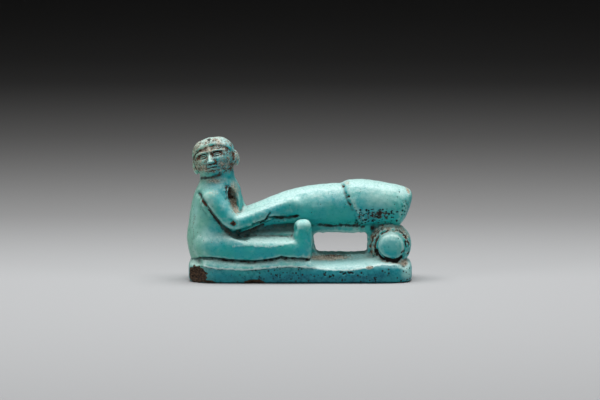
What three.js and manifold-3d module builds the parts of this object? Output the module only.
// A small figurine of turquoise glazed faience: a seated man whose oversized phallus rests on a
// round drum, all on one low base. It was moulded and fired as a single piece, so it is one mesh.
// Millimetres. +X runs from the man's back to the tip of the phallus, +Z is up, and the origin is
// the middle of the flat underside. The head looks out over the long -Y side.
import * as THREE from "three";
import { LoftGeometry } from "three/addons/geometries/LoftGeometry.js";
import { mergeVertices } from "three/addons/utils/BufferGeometryUtils.js";
import Module from "manifold-3d";

// The base
const BASE_LENGTH = 54;
const BASE_WIDTH = 18;
const BASE_THICKNESS = 5.4;
const BASE_WAVE = 0.42; // how far the hand-pressed top edge rises and dips
const BASE_WAVE_LENGTH = 24.5;

// The man
const FIGURE_HEIGHT = 29.7; // from the seat to the crown of the head
const SEAT_SINK = 0.6; // how deep the legs are bedded in the base
const BACK_SETBACK = 7; // from the end of the base to the middle of the hips

// The phallus
const SHAFT_DIAMETER = 10.2;
const GLANS_DIAMETER = 11;
const TIP_SETBACK = 0.3; // from the end of the base back to the tip
const GLANS_BEDDING = 0.7; // how deep the glans is bedded in the drum

// The drum
const DRUM_DIAMETER = 10.2;
const DRUM_WIDTH = 10.4;
const DRUM_SETBACK = 0.1; // from the end of the base back to the drum
const DRUM_BEDDING = 2;
const BOSS_DIAMETER = 6.5;
const BOSS_PROUD = 2.1; // how far the end disc stands out of the collar
const BOSS_GROOVE = 0.35;
const BED_LENGTH = 5.2; // of the clay pressed in under the drum, along the base

// The web between the shaft and the base, and the window through it
const WEB_THICKNESS = 5.2;
const WEB_FLARE = 4; // how much thicker the web gets where it meets the base
const WINDOW_RIM = 0.4; // what is left between the window and its neighbours
const WINDOW_SILL = 1; // height of the web left under the window
const WINDOW_LINTEL = 1.1; // height of the web left under the shaft

// Where the pieces of the pose are, worked out from the sizes above
const PERCENT = FIGURE_HEIGHT / 100; // the man is modelled in hundredths of his height
const SEAT_X = -BASE_LENGTH / 2 + BACK_SETBACK;
const SEAT_Z = BASE_THICKNESS - SEAT_SINK;
const LEG_Y = BASE_WIDTH / 2 - 9 * PERCENT;
const FOOT_X = SEAT_X + 69.5 * PERCENT;
const FOOT_HALF = 7.5 * PERCENT;
const TIP_X = BASE_LENGTH / 2 - TIP_SETBACK;
const DRUM_X = BASE_LENGTH / 2 - DRUM_SETBACK - DRUM_DIAMETER / 2;
const DRUM_Z = BASE_THICKNESS - DRUM_BEDDING + DRUM_DIAMETER / 2;
const GLANS_Z = DRUM_Z + DRUM_DIAMETER / 2 - GLANS_BEDDING + GLANS_DIAMETER / 2;
const SHAFT_UNDERSIDE_Z = GLANS_Z - SHAFT_DIAMETER * 0.565;

const CLAY = new THREE.MeshStandardMaterial({ color: 0x53b5ac, roughness: 0.35, metalness: 0 });
const ACROSS = new THREE.Vector3(0, 1, 0);

const wasm = await Module();
wasm.setup();

// A closed three.js geometry as a solid that can be joined and cut.
function solid(geometry) {
  const bare = new THREE.BufferGeometry().copy(geometry);
  bare.deleteAttribute("normal");
  bare.deleteAttribute("uv");
  const merged = mergeVertices(bare, 1e-4);
  const corners = merged.index.array;
  const kept = [];
  for (let i = 0; i < corners.length; i += 3) {
    const [a, b, c] = corners.slice(i, i + 3);
    if (a !== b && b !== c && c !== a) kept.push(a, b, c);
  }
  const vertProperties = merged.attributes.position.array;
  return new wasm.Manifold(new wasm.Mesh({ numProp: 3, vertProperties, triVerts: new Uint32Array(kept) }));
}

// The solid's surface as a three.js geometry.
function surface(made) {
  const mesh = made.getMesh();
  const geometry = new THREE.BufferGeometry();
  geometry.setAttribute("position", new THREE.BufferAttribute(mesh.vertProperties, 3));
  geometry.setIndex(new THREE.BufferAttribute(mesh.triVerts, 1));
  geometry.computeVertexNormals();
  return geometry;
}

const signedPower = (value, power) => Math.sign(value) * Math.abs(value) ** power;

// Points on an oval whose corners fill out as squareness grows from 2.
function oval(count, squareness, place) {
  return Array.from({ length: count }, (_, i) => {
    const angle = (2 * Math.PI * i) / count;
    const u = signedPower(Math.cos(angle), 2 / squareness);
    const v = signedPower(Math.sin(angle), 2 / squareness);
    return place(u, v);
  });
}

// A rounded body strung along a smooth spine. A station is [x, y, z, half width, half height, turn]:
// the half width lies across the part, turned about the spine by the turn in degrees. ends gives
// the length over which each end rounds off.
function limb(stations, { squareness = 2, ends, around, along }) {
  const CUT = 0.04; // each rounded end is cut off flat at this share of its rounding
  const spine = new THREE.CatmullRomCurve3(stations.map(([x, y, z]) => new THREE.Vector3(x, y, z)));
  const sizes = new THREE.CatmullRomCurve3(
    stations.map(([, , , wide, high, turn]) => new THREE.Vector3(wide, high, turn)),
  );
  const length = spine.getLength();
  const rounded = (run) => Math.sqrt(1 - (1 - Math.min(1, run)) ** 2);
  const sections = [];
  for (let i = 0; i <= along; i += 1) {
    const share = (1 - Math.cos((Math.PI * i) / along)) / 2;
    const run = THREE.MathUtils.lerp(CUT * ends[0], length - CUT * ends[1], share);
    const t = spine.getUtoTmapping(run / length);
    const centre = spine.getPoint(t);
    const tangent = spine.getTangent(t);
    const size = sizes.getPoint(t);
    const end = rounded(run / ends[0]) * rounded((length - run) / ends[1]);
    const wide = ACROSS.clone().addScaledVector(tangent, -ACROSS.dot(tangent)).normalize();
    wide.applyAxisAngle(tangent, THREE.MathUtils.degToRad(size.z));
    const high = new THREE.Vector3().crossVectors(tangent, wide);
    sections.push(
      oval(around, squareness, (u, v) =>
        centre
          .clone()
          .addScaledVector(wide, u * size.x * end)
          .addScaledVector(high, v * size.y * end),
      ),
    );
  }
  return solid(new LoftGeometry(sections, { capStart: true, capEnd: true }));
}

// A place on the man, in hundredths of his height from the middle of his seat.
const onMan = (x, y, z) => [SEAT_X + x * PERCENT, y * PERCENT, SEAT_Z + z * PERCENT];

// Half sizes of the man's limbs, in hundredths of his height, with the limb's turn in degrees.
const girth = (wide, high, turn = 0) => [wide * PERCENT, high * PERCENT, turn];

// An ellipsoid round the origin, given by its three half sizes.
function ellipsoid([x, y, z]) {
  return new THREE.SphereGeometry(1, 12, 6).scale(x, y, z);
}

// The base is a low slab with soft corners, a flat underside and an uneven top.
function base() {
  const STEPS = 22;
  const END_CUT = 0.9995; // the ends close on a small flat
  const PLAN_SQUARENESS = 6;
  const PROFILE_SQUARENESS = 7;
  const SECTION_SQUARENESS = 3.4;
  const SUNK = 1.6; // the section's rounding goes on this far below the flat underside
  const WAVE_CREST = 1.3; // a crest's distance behind the middle of the drum
  const half = (BASE_THICKNESS + SUNK) / 2;
  const sections = [];
  for (let i = 0; i <= STEPS; i += 1) {
    const share = END_CUT * Math.sin(Math.PI * (i / STEPS - 0.5));
    const x = (BASE_LENGTH / 2) * share;
    const wide = (BASE_WIDTH / 2) * (1 - Math.abs(share) ** PLAN_SQUARENESS) ** (1 / PLAN_SQUARENESS);
    const high = half * (1 - Math.abs(share) ** PROFILE_SQUARENESS) ** (1 / PROFILE_SQUARENESS);
    const wave = BASE_WAVE * Math.cos((2 * Math.PI * (x - DRUM_X + WAVE_CREST)) / BASE_WAVE_LENGTH);
    sections.push(
      oval(20, SECTION_SQUARENESS, (u, v) => {
        const z = half - SUNK + v * (high + (v > 0 ? wave : 0));
        return new THREE.Vector3(x, u * wide, Math.max(0, z));
      }),
    );
  }
  return solid(new LoftGeometry(sections, { capStart: true, capEnd: true }));
}

// The trunk turns from facing the tip at the hips to half facing the viewer at the shoulders.
function trunk() {
  const TWIST = -24;
  const stations = [
    [...onMan(-0.5, 0, -2), ...girth(22, 20)],
    [...onMan(-0.6, 0, 6), ...girth(24.5, 23.2)],
    [...onMan(-0.6, 0, 14), ...girth(25, 24.4)],
    [...onMan(-0.6, 0, 24), ...girth(24.5, 24.4, TWIST * 0.2)],
    [...onMan(-0.6, 0, 36), ...girth(23.5, 22.6, TWIST * 0.5)],
    [...onMan(-0.2, 0, 46), ...girth(22.5, 21, TWIST * 0.9)],
    [...onMan(0.4, 0, 55), ...girth(21.6, 18.4, TWIST)],
    [...onMan(0.8, 0, 61), ...girth(20.4, 16.4, TWIST)],
    [...onMan(-0.4, 0, 66), ...girth(14.8, 14, TWIST)],
    [...onMan(-0.6, 0, 75), ...girth(13.6, 13.8, TWIST)],
    [...onMan(-0.8, 0, 86), ...girth(11, 11, TWIST)],
  ];
  return limb(stations, { ends: [3 * PERCENT, 3 * PERCENT], around: 20, along: 19 });
}

// The lap is the mass of clay between the legs, which carries the shaft as far as the feet.
function lap() {
  const wide = LEG_Y - 3 * PERCENT;
  const stations = [
    [...onMan(-10, 0, 11), wide * 0.95, 15 * PERCENT, 0],
    [...onMan(20, 0, 12), wide, 17 * PERCENT, 0],
    [...onMan(46, 0, 12.6), wide, 17.6 * PERCENT, 0],
    [...onMan(70, 0, 12.6), wide * 0.9, 17.2 * PERCENT, 0],
  ];
  return limb(stations, { squareness: 4.5, ends: [6 * PERCENT, 3 * PERCENT], around: 16, along: 9 });
}

// The legs lie stretched out along both sides of the phallus, each with its foot upright.
function legs() {
  return [-1, 1].flatMap((hand) => {
    const place = (x, inwards, z) => {
      const [along, , up] = onMan(x, 0, z);
      return [along, hand * (LEG_Y - inwards * PERCENT), up];
    };
    const leg = [
      [...place(-19, 10, 12), ...girth(9, 12)],
      [...place(-7, 3.6, 12.4), ...girth(9.6, 12.8)],
      [...place(12, 0.8, 11.6), ...girth(9, 12)],
      [...place(41, 0, 10.8), ...girth(8.8, 10.8)],
      [...place(58, 0, 10.6), ...girth(8.8, 10.4)],
      [...place(70, 0, 10.6), ...girth(8.6, 10)],
    ];
    const foot = [
      [FOOT_X, hand * LEG_Y, SEAT_Z + 0.5 * PERCENT, 8 * PERCENT, FOOT_HALF * 0.94],
      [FOOT_X, hand * LEG_Y, SEAT_Z + 10 * PERCENT, 8 * PERCENT, FOOT_HALF],
      [FOOT_X, hand * LEG_Y, SEAT_Z + 24 * PERCENT, 7.8 * PERCENT, FOOT_HALF],
      [FOOT_X - PERCENT, hand * LEG_Y, SEAT_Z + 35.4 * PERCENT, 7.2 * PERCENT, FOOT_HALF * 0.94],
    ];
    return [
      limb(leg, { squareness: 2.3, ends: [12 * PERCENT, 4 * PERCENT], around: 16, along: 12 }),
      limb(foot, { squareness: 3, ends: [2 * PERCENT, 4 * PERCENT], around: 14, along: 9 }),
    ];
  });
}

// The shaft rises out of the lap in a gentle arch. A place on it is a share of the way from its
// root to the rim of the glans, with how far it has risen, and then shares of its own radius.
const SHAFT_RADIUS = SHAFT_DIAMETER / 2;

function onShaft(share, rise, y = 0, z = 0) {
  const [rootX, , rootZ] = onMan(10, 0, 25);
  return [
    THREE.MathUtils.lerp(rootX, TIP_X - GLANS_DIAMETER * 1.21, share),
    SHAFT_RADIUS * y,
    THREE.MathUtils.lerp(rootZ, GLANS_Z, rise) + SHAFT_RADIUS * z,
  ];
}

function shaft() {
  const size = (wide, high) => [SHAFT_RADIUS * wide, SHAFT_RADIUS * high, 0];
  const stations = [
    [...onShaft(0, 0), ...size(0.9, 0.8)],
    [...onShaft(0.13, 0.18), ...size(0.96, 0.82)],
    [...onShaft(0.24, 0.37), ...size(0.95, 0.82)],
    [...onShaft(0.36, 0.58), ...size(0.93, 0.87)],
    [...onShaft(0.49, 0.76), ...size(0.93, 0.95)],
    [...onShaft(0.6, 0.86), ...size(0.95, 1)],
    [...onShaft(0.72, 0.93), ...size(0.97, 1.01)],
    [...onShaft(0.88, 0.98), ...size(0.97, 1.01)],
    [...onShaft(1.12, 1), ...size(0.93, 0.95)],
  ];
  return limb(stations, { ends: [2, 2], around: 22, along: 18 });
}

// The glans has a slanting, slightly raised rim and a blunt end that leans inwards below. Its
// stations are shares of its own radius back from the tip and up from the middle of the glans.
function glans() {
  const radius = GLANS_DIAMETER / 2;
  const at = (back, up, wide, high) => [
    TIP_X - radius * back,
    0,
    GLANS_Z + radius * up,
    radius * wide,
    radius * high,
    0,
  ];
  const stations = [
    at(2.7, -0.12, 0.95, 1.06),
    at(2.4, 0, 0.98, 1.09),
    at(1.8, 0.05, 0.95, 0.99),
    at(1.2, -0.01, 0.91, 0.94),
    at(0.7, -0.08, 0.88, 0.92),
    at(0.08, -0.32, 0.8, 0.85),
  ];
  const ends = [GLANS_DIAMETER * 0.07, GLANS_DIAMETER * 0.15];
  return limb(stations, { squareness: 2.2, ends, around: 24, along: 14 });
}

// Each arm hangs from the shoulder, bends at the elbow and lays its hand on the side of the
// shaft. The near arm is on the -Y side; the twist of the trunk carries the far one forward.
function arms() {
  const handOn = (hand) => [
    [...onShaft(0.32, 0.55, hand, 0.3), ...girth(6.6, 6.8)],
    [...onShaft(0.44, 0.73, hand * 0.94, 0.27), ...girth(5.2, 7.4)],
    [...onShaft(0.56, 0.84, hand * 0.9, 0.22), ...girth(4, 6)],
  ];
  const near = [
    [...onMan(-9.6, -16.5, 58), ...girth(10, 10)],
    [...onMan(-2.4, -19, 47.5), ...girth(9.4, 9.8)],
    [...onMan(4, -20, 40), ...girth(8.6, 9)],
    [...onMan(12.4, -20.2, 31.6), ...girth(7.8, 8)],
    [...onMan(25, -19, 34.4), ...girth(7, 7.2)],
    ...handOn(-1),
  ];
  const far = [
    [...onMan(9.4, 16.5, 58), ...girth(8.4, 8.4)],
    [...onMan(12.2, 19, 45.4), ...girth(8.6, 8.6)],
    [...onMan(17, 20, 36), ...girth(8, 8)],
    [...onMan(24, 19.8, 31.6), ...girth(7.4, 7.4)],
    [...onMan(32, 18.8, 35), ...girth(6.8, 7)],
    ...handOn(1),
  ];
  const ends = [8 * PERCENT, 5 * PERCENT];
  return [near, far].map((stations) => limb(stations, { ends, around: 12, along: 18 }));
}

// The drum lies across the base: a round collar with a domed disc standing out of each end.
function drum() {
  const collar = DRUM_DIAMETER / 2;
  const boss = BOSS_DIAMETER / 2;
  const shoulder = DRUM_WIDTH / 2;
  const end = shoulder + BOSS_PROUD;
  const half = [
    [0, end],
    [boss * 0.6, end - BOSS_PROUD * 0.1],
    [boss * 0.92, end - BOSS_PROUD * 0.35],
    [boss, end - BOSS_PROUD * 0.7],
    [boss - BOSS_GROOVE, shoulder + BOSS_PROUD * 0.05],
    [boss + BOSS_GROOVE, shoulder - BOSS_GROOVE],
    [collar * 0.88, shoulder * 0.84],
    [collar, shoulder * 0.45],
  ];
  const profile = [
    ...half.map(([r, y]) => new THREE.Vector2(r, -y)),
    ...half.toReversed().map(([r, y]) => new THREE.Vector2(r, y)),
  ];
  return solid(new THREE.LatheGeometry(profile, 28).translate(DRUM_X, 0, DRUM_Z));
}

// Clay pressed in under the drum, so that neither the collar nor the discs stand hollow.
function drumBed() {
  const across = DRUM_WIDTH / 2 + BOSS_PROUD * 0.6;
  const bottom = BASE_THICKNESS - DRUM_BEDDING;
  const top = DRUM_Z - BOSS_DIAMETER * 0.41;
  const stations = [
    [DRUM_X, 0, bottom, across, BED_LENGTH / 2, 0],
    [DRUM_X, 0, (bottom + top) / 2, across, BED_LENGTH / 2, 0],
    [DRUM_X, 0, top, across, BED_LENGTH * 0.4, 0],
  ];
  return limb(stations, { squareness: 3, ends: [0.3, 0.2], around: 16, along: 5 });
}

// The web closes the space under the shaft from the feet to the drum.
function web() {
  const x = (SEAT_X + DRUM_X) / 2;
  const half = (DRUM_X - SEAT_X) / 2;
  const thick = WEB_THICKNESS / 2;
  const foot = thick + WEB_FLARE / 2;
  const stations = [
    [x, 0, BASE_THICKNESS - 1, foot, half, 0],
    [x, 0, BASE_THICKNESS + 0.2, foot * 0.86, half, 0],
    [x, 0, BASE_THICKNESS + WINDOW_SILL, thick, half, 0],
    [x, 0, SHAFT_UNDERSIDE_Z - WINDOW_LINTEL, thick * 0.9, half, 0],
    [x, 0, SHAFT_UNDERSIDE_Z + SHAFT_DIAMETER * 0.25, thick, half, 0],
  ];
  return limb(stations, { squareness: 5, ends: [0.4, 0.4], around: 16, along: 10 });
}

// The window is a rounded oblong right through the web, with the corner by the heel most worn.
function windowThrough() {
  const left = FOOT_X + FOOT_HALF + WINDOW_RIM;
  const right = DRUM_X - DRUM_DIAMETER / 2 - WINDOW_RIM;
  const sill = BASE_THICKNESS + WINDOW_SILL;
  const head = SHAFT_UNDERSIDE_Z - WINDOW_LINTEL;
  const corner = (head - sill) * 0.2;
  const worn = corner * 1.8;
  const outline = new THREE.Shape();
  outline.moveTo(left + worn, sill);
  outline.lineTo(right - corner, sill);
  outline.absarc(right - corner, sill + corner, corner, -Math.PI / 2, 0);
  outline.absarc(right - corner, head - corner, corner, 0, Math.PI / 2);
  outline.absarc(left + corner, head - corner, corner, Math.PI / 2, Math.PI);
  outline.absarc(left + worn, sill + worn, worn, Math.PI, 1.5 * Math.PI);
  const cutter = new THREE.ExtrudeGeometry(outline, {
    depth: BASE_WIDTH,
    bevelEnabled: false,
    curveSegments: 5,
  });
  return solid(cutter.rotateX(Math.PI / 2).translate(0, BASE_WIDTH / 2, 0));
}

// A smooth hump or hollow on the face: 1 in the middle, fading over rx and ry.
const hump = (x, y, cx, cy, rx, ry) => Math.exp(-(((x - cx) / rx) ** 2) - ((y - cy) / ry) ** 2);
const { smoothstep } = THREE.MathUtils;

// How far the face stands forward of the plain head. Everything is a share of the head's height,
// with x across, y up and the eyes halfway up, as in a drawing manual.
function faceRelief(x, y) {
  const side = Math.abs(x);
  const down = smoothstep(0.06 - y, 0, 0.26);
  const nose =
    (0.01 + 0.11 * down ** 1.2) *
    Math.exp(-((x / (0.036 + 0.036 * down)) ** 2)) *
    (1 - smoothstep(-y, 0.2, 0.235));
  const brow = 0.03 * hump(side, y, 0.2, 0.095 - 0.25 * (side - 0.17) ** 2, 0.15, 0.03);
  const sockets = -0.06 * hump(side, y, 0.18, 0.005, 0.11, 0.06);
  const eyes = 0.055 * hump(side, y, 0.185, -0.004, 0.075, 0.036);
  const wings = 0.04 * hump(side, y, 0.06, -0.19, 0.035, 0.032);
  const cheeks = 0.028 * hump(side, y, 0.23, -0.15, 0.12, 0.1);
  const muzzle = 0.05 * hump(x, y, 0, -0.31, 0.16, 0.12);
  const upperLip = 0.032 * hump(x, y, 0, -0.285, 0.12, 0.022);
  const lowerLip = 0.036 * hump(x, y, 0, -0.345, 0.1, 0.026);
  const mouth = -0.03 * hump(x, y, 0, -0.314, 0.14, 0.012);
  const chin = 0.075 * hump(x, y, 0, -0.45, 0.12, 0.08);
  return nose + brow + sockets + eyes + wings + cheeks + muzzle + upperLip + lowerLip + mouth + chin;
}

// The head looks out to the side and slightly up, and wears its hair close, like a cap. Its
// pieces are shaped with x across, y up and z forward, in shares of the head's height.
function head() {
  const HEIGHT = 32 * PERCENT;
  const WIDTH = 1.04;
  const JAW_TAPER = 0.16;
  const HAIR = 0.035;
  const ROLL = THREE.MathUtils.degToRad(14);
  const PITCH = THREE.MathUtils.degToRad(14);
  const YAW = THREE.MathUtils.degToRad(-16);

  const place = (geometry) =>
    solid(
      geometry
        .scale(HEIGHT, HEIGHT, HEIGHT)
        .rotateZ(ROLL)
        .rotateX(Math.PI / 2 - PITCH)
        .rotateZ(YAW)
        .translate(...onMan(-2.4, -1, 83)),
    );

  // A rounded block, drawn as rings round the middle of the face.
  const block = (rings, around, grow, relief) => {
    const sections = [];
    for (let i = 1; i < rings; i += 1) {
      const polar = Math.PI * (1 - i / rings) ** 1.3;
      const front = Math.cos(polar);
      const z = (0.5 + grow) * signedPower(front, front > 0 ? 0.8 : 1);
      sections.push(
        oval(around, 2.5, (u, v) => {
          const y = (0.5 + grow) * Math.sin(polar) * v;
          const taper = 1 - JAW_TAPER * smoothstep(-y, 0.05, 0.5);
          const x = (0.5 * WIDTH + grow) * Math.sin(polar) * u * taper;
          return new THREE.Vector3(x, y, z + relief(x, y) * smoothstep(front, 0, 0.35));
        }),
      );
    }
    return place(new LoftGeometry(sections, { capStart: true, capEnd: true }));
  };

  const face = block(27, 34, 0, faceRelief);
  const belowRim = new THREE.BoxGeometry(3, 2, 3).translate(0, -1.04, 0).rotateX(-0.56);
  const hair = block(18, 26, HAIR, () => 0).subtract(place(belowRim));

  const ears = [-1, 1].map((hand) => {
    const where = [0.53 * hand, -0.1, -0.02];
    const lobe = ellipsoid([0.085, 0.22, 0.14]).rotateY(-0.5 * hand).translate(...where);
    const hollow = ellipsoid([0.045, 0.12, 0.1])
      .translate(0.03 * hand, 0, 0.13)
      .rotateY(-0.5 * hand)
      .translate(...where);
    return place(lobe).subtract(place(hollow));
  });
  return [hair, ...ears].reduce((whole, piece) => whole.add(piece), face);
}

// The hollow of the chest between the arms, and the chips that are gone from the base. Each is
// an ellipsoid with half sizes and a place in millimetres, and turns in radians.
function losses() {
  const back = -BASE_LENGTH / 2;
  const front = BASE_LENGTH / 2;
  const near = -BASE_WIDTH / 2;
  const hollows = [
    // Chest
    { half: [5, 6, 10.5].map((share) => share * PERCENT), lean: -0.35, turn: 0, at: onMan(12.8, -13, 51) },
    // Bottom corner under the man's back
    { half: [3.4, 1.6, 2.6], lean: 0, turn: -0.6, at: [back + 1.3, near + 1.1, 2.1] },
    // Bottom edge under the knee
    { half: [2.2, 0.8, 0.8], lean: 0, turn: 0, at: [back / 2 + 2.4, near + 0.2, 0] },
    // Top corner beside the drum
    { half: [1.1, 1.7, 1.2], lean: -0.4, turn: 0, at: [front - 1.8, near + 2.4, BASE_THICKNESS - 0.7] },
  ];
  return hollows.map(({ half, lean, turn, at }) =>
    solid(ellipsoid(half).rotateY(lean).rotateZ(turn).translate(...at)),
  );
}

const pieces = [trunk(), lap(), ...legs(), shaft(), glans(), ...arms(), drum(), drumBed(), head()];
const pierced = base().add(web()).subtract(windowThrough());
const joined = pieces.reduce((whole, piece) => whole.add(piece), pierced);
const worn = losses().reduce((whole, loss) => whole.subtract(loss), joined);

// The back and the tip overhang the base a little, so the whole is centred by its own outline.
const shape = surface(worn);
shape.computeBoundingBox();
const middle = shape.boundingBox.getCenter(new THREE.Vector3());
const figurine = new THREE.Mesh(shape.translate(-middle.x, -middle.y, 0), CLAY);
figurine.name = "phallic_figurine";

const part = new THREE.Group();
part.add(figurine);

export default part;
